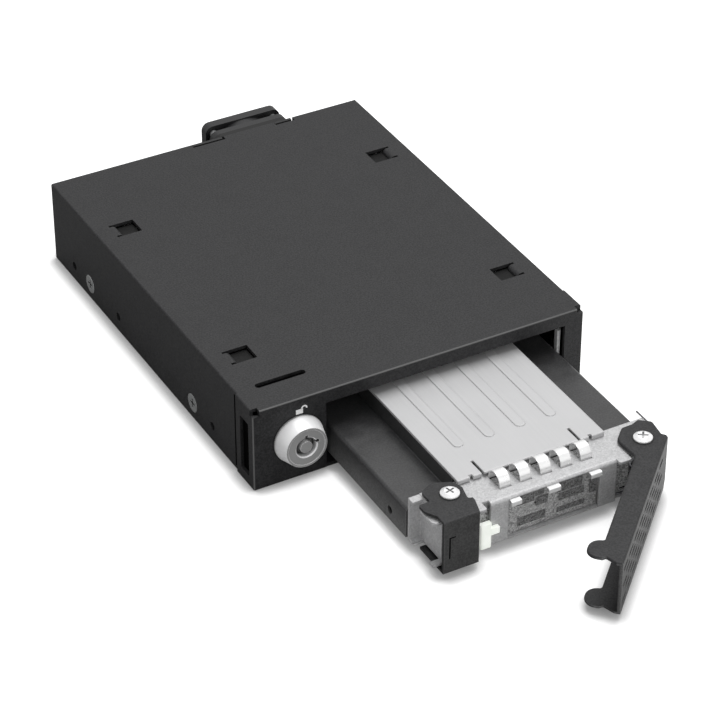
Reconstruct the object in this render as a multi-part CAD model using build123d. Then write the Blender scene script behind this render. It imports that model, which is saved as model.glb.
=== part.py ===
from build123d import *
import math
import os

# Solid state drive mobile rack for one 3.5 inch bay, in millimetres.
# X runs across the front, Y from the front face to the rear, Z up from the bottom face.
# The cage is drawn with its front face at y = 0 and the tray pushed home.
# The tray is then pulled out by tray_travel with its lever sprung open, as it rests here.

# Bay size
bay_width = 101.6
bay_height = 25.4
bay_depth = 129.5

# Sheets, folds and fits
cage_sheet = 1.0
tray_sheet = 0.8
finger_sheet = 0.25
cage_bend = 0.5
cage_corner = 0.5
inner_corner = 0.2
tray_bend = 0.3
sheet_slip = 0.1
running_gap = 0.08

# Tray, its place in the cage and its travel
tray_centre = 8.0
tray_width = 71.8
tray_length = 108.8
tray_travel = 56.8
tray_side_gap = 0.5
opening_width = 74.6
opening_height = 21.2

# Front return flanges and their slots
return_depth = 9.9
return_proud = 0.4
return_slit = 1.0
return_slot = (2.7, 7.5)
return_slot_height = (3.0, 20.2)
corner_relief = 1.7

# Side holes
thread_radius = 1.25
thread_collar = 1.2
thread_y = (25.3, 85.4, 115.6)
side_screw_y = (37.6, 104.7)
side_hole_z = 4.8
side_screw_head = 2.8
cross_size = (2.8, 0.5, 0.6)
cross_turns = (55, 15)

# Top cut-outs
top_slot_centre = (-37.5, 10.4)
top_slot_length = 15.0
top_slot_width = 2.0
lance_inner = 38.2
lance_outer = 45.8
lance_length = 6.5
lance_y = (25.5, 97.35)
tongue_width = 5.0
tongue_reach = 1.7
tongue_drop = 3.6
rear_notch_depth = 1.7
tab_play = 0.7
rear_notches = ((-5.2, 5.5), (22.5, 28.8))

# Base and guide rails
base_flange_height = 9.0
base_flange_front = 12.0
bead_height = 1.0
bead_width = 5.0
bead_inset = 10.0
bead_front = 20.0
bead_rear = 104.0
rail_height = 18.4
rail_foot = 3.2
left_rail_front = 14.0
right_rail_front = 2.3
foot_window = (3.8, 13.4)
foot_window_depth = 2.2
rail_ear = 7.0

# Lock
lock_x = -37.8
lock_z = 12.7
lock_reach = 5.0
lock_face_radius = 6.1
lock_skirt_radius = 7.3
lock_barrel_radius = 5.2
lock_barrel_length = 10.6
lock_bore_radius = 3.0
lock_keyway_depth = 2.4
lock_post_radius = 1.75
lock_nut_radius = 7.2
lock_nut_length = 2.5
cam_sheet = 1.2
cam_radius = 11.3
cam_width = 4.4
cam_tenon = 3.6
cam_rest_angle = 108.0
cam_screw_radius = 1.0

# Backplane and rear connectors
board_sheet = 1.6
backplane_front = 113.4
backplane_left = -40.0
backplane_right = 48.4
backplane_height = 20.8
backplane_screw_inset = 1.7
socket_depth = 4.4
socket_height = 6.4
data_x = -9.5
data_z = 13.2
data_width = 17.0
data_height = 7.4
data_wall = 0.6
power_x = -30.0
power_z = 10.8
power_width = 17.6
power_height = 8.6
power_wall = 1.2
port_proud = 1.4
port_mouth = 5.0
port_clearance = 0.3
pin_size = 0.7

# Fan
fan_size = 25.0
fan_x = 15.45
fan_z = 12.9
fan_thickness = 8.0
fan_front_flange = 2.2
fan_rear_flange = 3.0
fan_corner = 2.4
fan_hole_pitch = 20.0
fan_bore_radius = 11.3
fan_wall = 0.9
gasket = 1.7
fan_hub_radius = 5.2
fan_blade_radius = 10.8
fan_blades = 7
fan_blade_sheet = 0.6
fan_blade_pitch = 42.0
fan_shaft_radius = 0.9
fan_screw_radius = 1.25

# Front frame of the tray
frame_bottom = 3.0
frame_top = 17.1
frame_rear = 15.5
frame_left = -24.5
frame_right = 43.5
frame_wall_front = 2.9
frame_wall = (-10.5, 27.7)
frame_window = (-5.2, 22.6)
ear_left = -27.8
ear_front = 2.5
ear_rear = 10.2
left_lug = (-14.9, -12.5)
right_lug = (27.7, 31.5)
lug_front = 1.5
bracket_lip = 1.6
rivet_x = (-10.0, 4.0, 18.0, 30.5)
lever_relief_radius = 4.9
lever_sweep = 8.8

# Contact fingers
finger_count = 5
finger_width = 3.3
finger_slot = 3.5
finger_pitch = 6.15
finger_centre = 8.58
finger_root = 7.3
finger_radius = 2.9
finger_apex = 20.4
hook_tabs = ((-5.0, -2.0), (6.2, 9.8), (19.0, 22.4))

# Vent plate
vent_front = 4.2
vent_sheet = 0.6
vent_recess = 0.25
vent_foot = 19.4
vent_skirt = 4.0

# Pivots, lever and latch
lever_pivot = (37.7, 6.2)
latch_pivot = (-18.6, 10.1)
pivot_radius = 1.5
pivot_head_radius = 2.6
pivot_head_height = 1.1
washer_radius = 2.8
handle_bottom = 1.8
handle_top = 18.45
handle_sheet = 0.8
lever_web = 1.0
lever_open_angle = 44.8
lever_slot = (4.9, 1.3)
lever_slot_pitch = 6.2
lever_row_pitch = 2.6
lever_rows = 5
lever_row_slots = 8
lever_first_slot = 5.4
lever_chamfer = 4.0
latch_left = -26.0
latch_right = -15.6
latch_mark = (-24.4, -22.7, 6.5, 13.2)
mark_width = 0.25
mark_depth = 0.2
earth_sheet = 0.36
earth_root = 9.1
earth_end = 18.4
latch_flange_depth = 12.2

# Springs on the pivots
wire = 0.8
coil_radius = 2.6
lever_coils = 8
latch_coils = 6

# Tray body
pan_bottom = 2.2
pan_front = 13.6
pan_flange_height = 6.6
deck_top = 12.8
deck_front = 16.3
skirt_bottom = 3.5
upstand_top = 17.8
drive_bay = (-13.5, 29.2)
bay_front_bridge = 1.2
bay_rear_bridge = 3.6
side_hole = (24.8, 6.8)

# Lid of the drive bay
lid_width = 44.6
lid_front = 13.4
lid_rear = 107.0
lid_slot = 0.8
lid_slot_depth = 5.9
lid_slot_offset = 14.7
lid_fold = 0.6
lid_notch_offset = 18.1
lid_rib_offsets = (-14.15, -4.72, 4.72, 14.15)
lid_rib_width = 3.0
lid_rib_height = 0.25
lid_rib_front = 25.8

# Boards in the tray
adaptor_bottom = 9.4
adaptor_front = 18.0
adaptor_half_width = 32.0
tongue_half_width = 20.0
tongue_length = 4.0
standoff_radius = 2.5
standoff_x = 29.0
standoff_y = (24.0, 100.0)
small_head_radius = 2.4
small_head_height = 1.2
drive_width = 22.0
drive_length = 80.0
drive_front = 22.0
drive_bottom = 14.4
drive_sheet = 0.8
chip_height = 1.2
chips = ((12.0, 16.0, 46.0), (12.0, 16.0, 66.0), (11.0, 9.0, 79.0), (10.0, 10.0, 90.0))
pad_width = 16.0
pad_front = 36.0
pad_rear = 96.0

# Light pipe
pipe_left = -14.1
pipe_right = -10.9
pipe_front = 1.5
pipe_thickness = 1.6
pipe_height = (4.2, 11.8)
pipe_arm_z = 7.0
pipe_arm_end = 20.0
pipe_nub = (-8.6, 8.0, 10.0)

# Places that follow from the sizes above
half_width = bay_width / 2
opening_left = tray_centre - opening_width / 2
opening_right = tray_centre + opening_width / 2
base_half = half_width - cage_sheet - sheet_slip
rail_half = tray_width / 2 + tray_side_gap
floor_top = cage_sheet
fan_front = bay_depth + gasket
backplane_rear = backplane_front + board_sheet
adaptor_top = adaptor_bottom + board_sheet
plate_bottom = frame_top - tray_sheet
coil_mean = coil_radius + wire / 2


def block(x0, x1, y0, y1, z0, z1):
    # A block between three pairs of limits
    middle = Pos((x0 + x1) / 2, (y0 + y1) / 2, (z0 + z1) / 2)
    return middle * Box(x1 - x0, y1 - y0, z1 - z0)


def rect(u0, u1, v0, v1, corner=0):
    # A rectangle between two pairs of limits
    middle = Pos((u0 + u1) / 2, (v0 + v1) / 2)
    if corner:
        return middle * RectangleRounded(u1 - u0, v1 - v0, corner)
    return middle * Rectangle(u1 - u0, v1 - v0)


def disc(u, v, radius):
    return Pos(u, v) * Circle(radius)


def outline(points, radii):
    # A closed outline with a rounding at each corner
    return make_face(FilletPolyline(*points, radius=radii, close=True).edges())


def folded(points, thick, bend):
    # The edge view of a sheet that is bent along a centre line
    line = [Vector(*p) for p in points]
    ways = [(b - a).normalized() for a, b in zip(line, line[1:])]
    sides = [Vector(-w.Y, w.X) for w in ways]
    left, right, left_radii, right_radii = [], [], [], []
    for i, point in enumerate(line):
        before = sides[max(i - 1, 0)]
        after = sides[min(i, len(sides) - 1)]
        shift = (before + after) * (thick / 2 / (1 + before.dot(after)))
        turn = 0
        if 0 < i < len(line) - 1:
            turn = ways[i - 1].cross(ways[i]).Z
        left.append(point + shift)
        right.append(point - shift)
        left_radii.append(0 if turn == 0 else bend + (thick if turn < 0 else 0))
        right_radii.append(0 if turn == 0 else bend + (thick if turn > 0 else 0))
    return outline(left + right[::-1], left_radii + right_radii[::-1])


def along_x(sketch, x0, x1):
    # Draws (y, z) and runs it from x0 to x1
    plane = Plane((x0, 0, 0), x_dir=(0, 1, 0), z_dir=(1, 0, 0))
    return extrude(plane * sketch, x1 - x0, dir=(1, 0, 0))


def along_y(sketch, y0, y1):
    # Draws (x, z) and runs it from y0 to y1
    plane = Plane((0, y0, 0), x_dir=(1, 0, 0), z_dir=(0, -1, 0))
    return extrude(plane * sketch, y1 - y0, dir=(0, 1, 0))


def along_z(sketch, z0, z1):
    # Draws (x, y) and runs it from z0 to z1
    return extrude(Pos(0, 0, z0) * sketch, z1 - z0, dir=(0, 0, 1))


def turned(profile, x, y):
    # Turns a (radius, z) profile about a vertical axis
    plane = Plane((x, y, 0), x_dir=(1, 0, 0), z_dir=(0, -1, 0))
    return revolve(plane * profile, Axis((x, y, 0), (0, 0, 1)))


def bored(profile, x, z):
    # Turns a (radius, y) profile about an axis that runs from front to rear
    plane = Plane((x, 0, z), x_dir=(1, 0, 0), z_dir=(0, 0, 1))
    return revolve(plane * profile, Axis((x, 0, z), (0, 1, 0)))


# Cage

def cage_block(inset, radius, rear, bottom, proud=0):
    # The folded outside or inside of the cover: top, sides and front share one bend
    reach = half_width - inset + proud
    body = block(-reach, reach, inset, rear, bottom, bay_height - inset)
    sides = body.edges().filter_by(Axis.Y).group_by(Axis.Z)[-1]
    brow = body.edges().filter_by(Axis.X).group_by(Axis.Z)[-1].sort_by(Axis.Y)[0]
    posts = body.edges().filter_by(Axis.Z).group_by(Axis.Y)[0]
    return fillet([*sides, brow, *posts], radius)


def side_cone(side, y, wide, narrow, depth):
    # A countersink in a side wall, wide at the outer face
    cone = Cone(wide, narrow, depth)
    turn = Rot(0, -90 * side, 0)
    return Pos(side * (half_width - depth / 2), y, side_hole_z) * turn * cone


def cross_cut(top, size):
    # A cross recess, cut down from the top of a screw's head
    length, width, depth = size
    bar = block(-length / 2, length / 2, -width / 2, width / 2, top - depth, top + 1)
    return bar + Rot(0, 0, 90) * bar


def lance_tongue(side, y):
    # The tongue left in a lanced opening, bent down from its outer end
    level = bay_height - cage_sheet / 2
    tip = lance_outer - tongue_reach
    centre_line = [(side * (lance_outer + 1), level), (side * tip, level), (side * tip, level - tongue_drop)]
    return along_y(folded(centre_line, cage_sheet, cage_bend), y - tongue_width / 2, y + tongue_width / 2)


def make_cage_cover():
    body = cage_block(0, cage_corner, bay_depth, 0) + cage_block(0, cage_corner, return_depth, 0, return_proud)
    body -= cage_block(cage_sheet, inner_corner, bay_depth + 1, -1)
    body -= cage_block(cage_sheet, inner_corner, return_depth, -1, return_proud)
    cuts = [block(opening_left, opening_right, -1, 2 * cage_sheet, -1, opening_height)]
    cuts.append(along_y(disc(lock_x, lock_z, lock_barrel_radius + sheet_slip), -1, 2 * cage_sheet))
    slot = Pos(*top_slot_centre) * SlotOverall(top_slot_length, top_slot_width)
    cuts.append(along_z(slot, bay_height - 2 * cage_sheet, bay_height + 1))
    for left, right in rear_notches:
        cuts.append(block(left, right, bay_depth - rear_notch_depth, bay_depth + 1,
                          bay_height - 2 * cage_sheet, bay_height + 1))
    slit_end = return_depth + return_slit
    for side in (-1, 1):
        inner = side * (half_width - 2 * cage_sheet)
        outer = side * (half_width + 1)
        low, high = min(inner, outer), max(inner, outer)
        cuts.append(block(low, high, return_depth, slit_end, -1, bay_height - cage_sheet))
        cuts.append(along_x(rect(*return_slot, *return_slot_height, 0.4), low, high))
        relief = half_width - corner_relief
        cuts.append(block(min(side * relief, outer), max(side * relief, outer), -1, corner_relief,
                          bay_height - corner_relief, bay_height + 1))
        for y in side_screw_y:
            cuts.append(side_cone(side, y, side_screw_head + sheet_slip, pivot_radius + sheet_slip, cage_sheet))
        for y in lance_y:
            edges = sorted((side * lance_inner, side * lance_outer))
            cuts.append(block(*edges, y - lance_length / 2, y + lance_length / 2,
                              bay_height - 2 * cage_sheet, bay_height + 1))
    body -= cuts
    collars = []
    bores = []
    for side in (-1, 1):
        wall = side * (half_width - cage_sheet)
        for y in thread_y:
            span = sorted((wall, wall - side * thread_collar))
            collars.append(along_x(disc(y, side_hole_z, thread_radius + 0.9), *span))
            bores.append(along_x(disc(y, side_hole_z, thread_radius),
                                 *sorted((side * (half_width + 1), wall - side * 2 * thread_collar))))
        for y in lance_y:
            collars.append(lance_tongue(side, y))
    return body + collars - bores


def make_cage_base():
    edge = base_half - cage_sheet / 2
    level = cage_sheet / 2
    trough = folded([(-edge, base_flange_height), (-edge, level), (edge, level), (edge, base_flange_height)],
                    cage_sheet, cage_bend)
    flange_rear = bay_depth - 3
    body = along_y(trough, base_flange_front, flange_rear)
    body += block(-base_half, base_half, cage_sheet + sheet_slip, base_flange_front, 0, cage_sheet)
    body += block(opening_left + sheet_slip, opening_right - sheet_slip, sheet_slip, 2 * cage_sheet, 0, cage_sheet)
    wall_y = bay_depth - cage_sheet / 2
    rear = folded([(flange_rear, level), (wall_y, level), (wall_y, bay_height - cage_sheet - 3 * sheet_slip)],
                  cage_sheet, cage_bend)
    body += along_x(rear, -base_half, base_half)
    for left, right in rear_notches:
        body += block(left + sheet_slip, right - tab_play, bay_depth - cage_sheet, bay_depth,
                      bay_height - 3 * cage_sheet, bay_height)
    middle = (bead_front + bead_rear) / 2
    length = bead_rear - bead_front
    hollows = []
    for side in (-1, 1):
        x = tray_centre + side * (tray_width / 2 - bead_inset)
        bead = Pos(x, middle) * SlotOverall(length, bead_width, rotation=90)
        hollow = Pos(x, middle) * SlotOverall(length - 2 * cage_sheet, bead_width - 2 * cage_sheet, rotation=90)
        body += along_z(bead, 0, floor_top + bead_height)
        hollows.append(along_z(hollow, -1, bead_height))
    cuts = hollows
    for side in (-1, 1):
        span = sorted((side * (base_half + 1), side * (base_half - 2 * cage_sheet)))
        for y in thread_y:
            cuts.append(along_x(disc(y, side_hole_z, thread_radius + 1.3), *span))
        for y in side_screw_y:
            cuts.append(along_x(disc(y, side_hole_z, thread_radius), *span))
    holes = [disc(fan_x, fan_z, fan_bore_radius)]
    for u in (-1, 1):
        for v in (-1, 1):
            holes.append(disc(fan_x + u * fan_hole_pitch / 2, fan_z + v * fan_hole_pitch / 2, fan_screw_radius))
    holes.append(rect(data_x - data_width / 2 - port_clearance, data_x + data_width / 2 + port_clearance,
                      data_z - data_height / 2 - port_clearance, data_z + data_height / 2 + port_clearance))
    holes.append(rect(power_x - power_width / 2 - port_clearance, power_x + power_width / 2 + port_clearance,
                      power_z - power_height / 2 - port_clearance, power_z + power_height / 2 + port_clearance))
    for i in range(5):
        holes.append(Pos(33.5 + 3.2 * i, 12.0) * SlotOverall(14.0, 1.6, rotation=90))
    cuts += [along_y(hole, bay_depth - 2 * cage_sheet, bay_depth + 1) for hole in holes]
    return body - cuts


def make_guide_rail(side, front):
    # An angle sheet: guide wall, foot on the floor and an ear that carries the backplane
    wall = tray_centre + side * (rail_half + cage_sheet / 2)
    foot = wall + side * rail_foot
    section = folded([(wall, rail_height), (wall, floor_top + cage_sheet / 2), (foot, floor_top + cage_sheet / 2)],
                     cage_sheet, cage_bend)
    rail = along_y(section, front, backplane_front - 6)
    room = base_half - cage_sheet - sheet_slip - abs(wall)
    ear_reach = min(rail_ear, room)
    ear_y = backplane_front - cage_sheet / 2
    plan = folded([(wall, backplane_front - 8), (wall, ear_y), (wall + side * ear_reach, ear_y)],
                  cage_sheet, cage_bend)
    rail += along_z(plan, floor_top + 3 * cage_sheet, backplane_height)
    return rail


def make_left_guide_rail():
    return make_guide_rail(-1, left_rail_front)


def make_right_guide_rail():
    rail = make_guide_rail(1, right_rail_front)
    inner = tray_centre + rail_half
    window = block(inner - 1, inner + foot_window_depth, *foot_window, 0, rail_height + 1)
    return rail - window


def make_side_screws():
    screws = []
    for side in (-1, 1):
        for y in side_screw_y:
            head = side_cone(side, y, side_screw_head, pivot_radius, cage_sheet)
            inner = side * (base_half - 2 * cage_sheet)
            span = sorted((side * (half_width - cage_sheet), inner))
            shank = along_x(disc(y, side_hole_z, thread_radius - 0.02), *span)
            recess = Pos(side * half_width, y, side_hole_z) * Rot(0, 90 * side, 0) * cross_cut(0, cross_size)
            screws.append(head + shank - recess)
    return screws


# Lock

def make_lock_housing():
    back = cage_sheet + lock_barrel_length
    profile = Polyline((lock_bore_radius, -lock_reach + 0.4), (lock_bore_radius + 0.3, -lock_reach + 0.1),
                       (lock_face_radius - 0.7, -lock_reach + 0.1), (lock_face_radius - 0.6, -lock_reach),
                       (lock_face_radius, -lock_reach), (lock_skirt_radius, -0.6),
                       (lock_skirt_radius, 0), (lock_barrel_radius, 0),
                       (lock_barrel_radius, back), (lock_bore_radius, back), close=True)
    body = bored(make_face(profile.edges()), lock_x, lock_z)
    # Two key notches in the rim of the keyway
    for angle in (90, 20):
        notch = Rot(0, -angle, 0) * block(lock_bore_radius - 0.4, lock_bore_radius + 0.9,
                                          -lock_reach - 1, -lock_reach + 1.6, -0.45, 0.45)
        body -= Pos(lock_x, 0, lock_z) * notch
    return body


def make_lock_nut():
    flat = lock_nut_radius * 0.9
    nut = along_y(Pos(lock_x, lock_z) * RegularPolygon(flat, 6, major_radius=False), cage_sheet,
                  cage_sheet + lock_nut_length)
    return nut - along_y(disc(lock_x, lock_z, lock_barrel_radius + 0.02), 0, 2 * cage_sheet + lock_nut_length)


def make_lock_plug():
    body_radius = lock_bore_radius - running_gap
    back = cage_sheet + lock_barrel_length
    plug = along_y(disc(lock_x, lock_z, body_radius), -lock_reach + lock_keyway_depth, back + sheet_slip)
    plug += along_y(disc(lock_x, lock_z, lock_post_radius), -lock_reach + 0.3, back)
    half = cam_tenon / 2
    tenon = Pos(lock_x, lock_z) * Rot(0, 0, cam_rest_angle) * rect(-half, half, -half, half)
    plug += along_y(tenon, back, back + sheet_slip + cam_sheet)
    return plug - along_y(disc(lock_x, lock_z, cam_screw_radius), back - 2, back + 2 * cam_sheet)


def make_lock_cam():
    front = cage_sheet + lock_barrel_length + sheet_slip
    arm = Pos(0, 0) * Circle(cam_width)
    arm += outline([(0, -cam_width / 2), (cam_radius, -cam_width / 2), (cam_radius, cam_width / 2),
                    (0, cam_width / 2)], [0, 0.8, 0.8, 0])
    arm &= Circle(cam_radius)
    hole = cam_tenon / 2 + 0.05
    arm -= rect(-hole, hole, -hole, hole)
    cam = along_y(Rot(0, 0, cam_rest_angle) * arm, front, front + cam_sheet)
    return Pos(lock_x, 0, lock_z) * cam


def make_lock_cam_screw():
    seat = cage_sheet + lock_barrel_length + sheet_slip + cam_sheet
    head = along_y(disc(lock_x, lock_z, cam_tenon * 0.75), seat, seat + 1.2)
    return head + along_y(disc(lock_x, lock_z, cam_screw_radius - 0.02), seat - 2, seat)


# Backplane and rear connectors

def make_backplane_board():
    board = block(backplane_left, backplane_right, backplane_front, backplane_rear, floor_top + sheet_slip,
                  backplane_height)
    holes = [along_y(disc(x, z, thread_radius), backplane_front - 1, backplane_rear + 1)
             for x, z in backplane_fixings()]
    airway = Pos(fan_x, fan_z) * SlotOverall(20.0, 4.0)
    return board - holes - along_y(airway, backplane_front - 1, backplane_rear + 1)


def backplane_fixings():
    # One screw in the ear of each guide rail
    left = tray_centre - rail_half - cage_sheet - rail_ear / 2
    right = tray_centre + rail_half + cage_sheet + backplane_screw_inset
    return [(x, backplane_height - small_head_radius - sheet_slip) for x in (left, right)]


def make_backplane_screws():
    screws = []
    for x, z in backplane_fixings():
        profile = make_face(Polyline((0, backplane_rear + small_head_height), (small_head_radius * 0.7,
                            backplane_rear + small_head_height), (small_head_radius, backplane_rear + 0.4),
                            (small_head_radius, backplane_rear), (thread_radius - 0.02, backplane_rear),
                            (thread_radius - 0.02, backplane_front), (0, backplane_front), close=True).edges())
        screws.append(bored(profile, x, z))
    return screws


def make_backplane_socket():
    level = adaptor_bottom + board_sheet / 2
    body = block(tray_centre - tongue_half_width - 2, tray_centre + tongue_half_width + 2,
                 backplane_front - socket_depth, backplane_front, level - socket_height / 2,
                 level + socket_height / 2)
    slot = block(tray_centre - tongue_half_width - sheet_slip, tray_centre + tongue_half_width + sheet_slip,
                 backplane_front - socket_depth - 1, backplane_front - 0.4,
                 adaptor_bottom - sheet_slip, adaptor_top + sheet_slip)
    return body - slot


def port_shell(x, z, width, height, wall, corner):
    # A plug port that stands on the backplane and looks out through the rear wall
    rear = bay_depth + port_proud
    outer = along_y(rect(x - width / 2, x + width / 2, z - height / 2, z + height / 2, corner),
                    backplane_rear, rear)
    inner = rect(x - width / 2 + wall, x + width / 2 - wall, z - height / 2 + wall, z + height / 2 - wall,
                 corner / 2)
    return outer - along_y(inner, rear - 2 * port_mouth, rear + 1)


def make_data_connector():
    port = port_shell(data_x, data_z, data_width, data_height, data_wall, 0.6)
    rear = bay_depth + port_proud
    reach = data_width / 2 - 3 * data_wall
    blade = block(data_x - reach, data_x + reach, rear - 2 * port_mouth, rear - port_mouth,
                  data_z - pin_size, data_z + pin_size)
    return port + blade


def make_power_connector():
    port = port_shell(power_x, power_z, power_width, power_height, power_wall, 0.8)
    rear = bay_depth + port_proud
    pitch = (power_width - 2 * power_wall) / 4
    for i in range(4):
        x = power_x + pitch * (i - 1.5)
        port += block(x - pin_size, x + pin_size, rear - 2 * port_mouth, rear - port_mouth,
                      power_z - pin_size, power_z + pin_size)
    return port


# Fan

def fan_square(size, corner):
    return rect(fan_x - size / 2, fan_x + size / 2, fan_z - size / 2, fan_z + size / 2, corner)


def fan_corners():
    offset = fan_hole_pitch / 2
    return [(fan_x + u * offset, fan_z + v * offset) for u in (-1, 1) for v in (-1, 1)]


def make_fan_gasket():
    pad = along_y(fan_square(fan_size, fan_corner), bay_depth, fan_front)
    holes = [disc(fan_x, fan_z, fan_bore_radius)]
    holes += [disc(x, z, fan_screw_radius + 0.05) for x, z in fan_corners()]
    return pad - [along_y(hole, bay_depth - 1, fan_front + 1) for hole in holes]


def make_fan_frame():
    rear = fan_front + fan_thickness
    body = along_y(fan_square(fan_size, fan_corner), fan_front, fan_front + fan_front_flange)
    body += along_y(fan_square(fan_size, fan_corner), rear - fan_rear_flange, rear)
    body += along_y(disc(fan_x, fan_z, fan_bore_radius + fan_wall), fan_front, rear)
    body -= along_y(disc(fan_x, fan_z, fan_bore_radius), fan_front - 1, rear + 1)
    # The motor carrier and its three struts close the rear of the bore
    carrier = along_y(disc(fan_x, fan_z, fan_hub_radius), rear - 1.4, rear)
    for i in range(3):
        strut = block(0, fan_bore_radius + fan_wall / 2, rear - 1.4, rear, -0.7, 0.7)
        carrier += Pos(fan_x, 0, fan_z) * Rot(0, 30 + 120 * i, 0) * strut
    carrier += along_y(disc(fan_x, fan_z, fan_shaft_radius), fan_front + 1.6, rear - 1)
    body += carrier
    holes = [along_y(disc(x, z, fan_screw_radius + 0.05), fan_front - 1, rear + 1) for x, z in fan_corners()]
    return body - holes


def fan_blade():
    # A twisted blade, steeper at the hub than at the tip
    length = 2 * fan_blade_radius * math.sin(math.pi / fan_blades)
    sections = []
    for radius, twist in ((fan_hub_radius - 0.6, fan_blade_pitch + 8), (fan_blade_radius + 1, fan_blade_pitch - 8)):
        chord = length * (0.55 + 0.35 * radius / fan_blade_radius)
        section = Rot(0, 0, twist) * RectangleRounded(chord, fan_blade_sheet, fan_blade_sheet * 0.45)
        plane = Plane((radius, 0, 0), x_dir=(0, 1, 0), z_dir=(1, 0, 0))
        sections.append(plane * section)
    return loft(sections)


def make_fan_rotor():
    front = 0.5
    depth = fan_thickness - 1.4 - 2 * front
    hub = along_y(disc(0, 0, fan_hub_radius), 0, depth)
    hub = fillet(hub.edges().filter_by(GeomType.CIRCLE).sort_by(Axis.Y)[0], 0.8)
    hub -= along_y(disc(0, 0, fan_shaft_radius + running_gap), 1, depth + 1)
    blade = Rot(-90, 0, 0) * fan_blade()
    sweep = along_y(disc(0, 0, fan_blade_radius), 0.2, depth)
    rotor = hub
    for i in range(fan_blades):
        turn = Rot(0, 360 / fan_blades * i, 0)
        rotor += (turn * Pos(0, depth / 2, 0) * blade) & sweep
    rotor -= along_y(disc(0, 0, fan_shaft_radius + running_gap), 1, depth + 1)
    return Pos(fan_x, fan_front + front, fan_z) * rotor


def make_fan_screws():
    rear = fan_front + fan_thickness
    screws = []
    for x, z in fan_corners():
        profile = make_face(Polyline((0, rear + 0.8), (1.4, rear + 0.8), (2.1, rear + 0.3), (2.1, rear),
                                     (fan_screw_radius, rear), (fan_screw_radius, bay_depth),
                                     (fan_screw_radius - 0.02, bay_depth),
                                     (fan_screw_radius - 0.02, bay_depth - cage_sheet),
                                     (0, bay_depth - cage_sheet), close=True).edges())
        screws.append(bored(profile, x, z))
    return screws


# Tray body, drawn pushed home

def make_tray_pan():
    edge = tray_width / 2 - tray_sheet * 1.5 - sheet_slip
    level = pan_bottom + tray_sheet / 2
    top = pan_bottom + pan_flange_height
    left, right = tray_centre - edge, tray_centre + edge
    trough = folded([(left, top), (left, level), (right, level), (right, top)], tray_sheet, tray_bend)
    pan = along_y(trough, frame_rear + 1, tray_length)
    pan += block(left, right, pan_front, frame_rear + 1.5, pan_bottom, pan_bottom + tray_sheet)
    holes = [along_z(disc(x, y, thread_radius), 0, frame_bottom + 1) for x, y in rivet_places()]
    # Air slots in the floor
    for i in range(6):
        slot = Pos(tray_centre, 36 + 10 * i) * SlotOverall(30, 3)
        holes.append(along_z(slot, 0, frame_bottom + 1))
    # The foot of the lever sweeps through the front right corner
    holes.append(along_z(disc(*lever_pivot, lever_sweep), 0, frame_bottom))
    return pan - holes


def make_tray_cover():
    wall = tray_width / 2 - tray_sheet / 2
    deck = deck_top - tray_sheet / 2
    halves = []
    for side, bay_edge in ((-1, drive_bay[0]), (1, drive_bay[1])):
        outer = tray_centre + side * wall
        inner = bay_edge + side * tray_sheet / 2
        section = folded([(outer, skirt_bottom), (outer, deck), (inner, deck), (inner, upstand_top)],
                         tray_sheet, tray_bend)
        halves.append(along_y(section, deck_front, tray_length))
    cover = halves[0] + halves[1]
    front_bridge = (deck_front, deck_front + bay_front_bridge)
    rear_bridge = (tray_length - bay_rear_bridge, tray_length)
    for y0, y1 in (front_bridge, rear_bridge):
        cover += block(drive_bay[0] - 1.5, drive_bay[1] + 1.5, y0, y1, deck_top - tray_sheet, deck_top)
    hole = along_x(disc(*side_hole, 1.2), tray_centre - wall - 2, tray_centre - wall + 2)
    return cover - hole


def rivet_places():
    y = (pan_front + frame_rear) / 2
    return [(x, y) for x in rivet_x]


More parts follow.
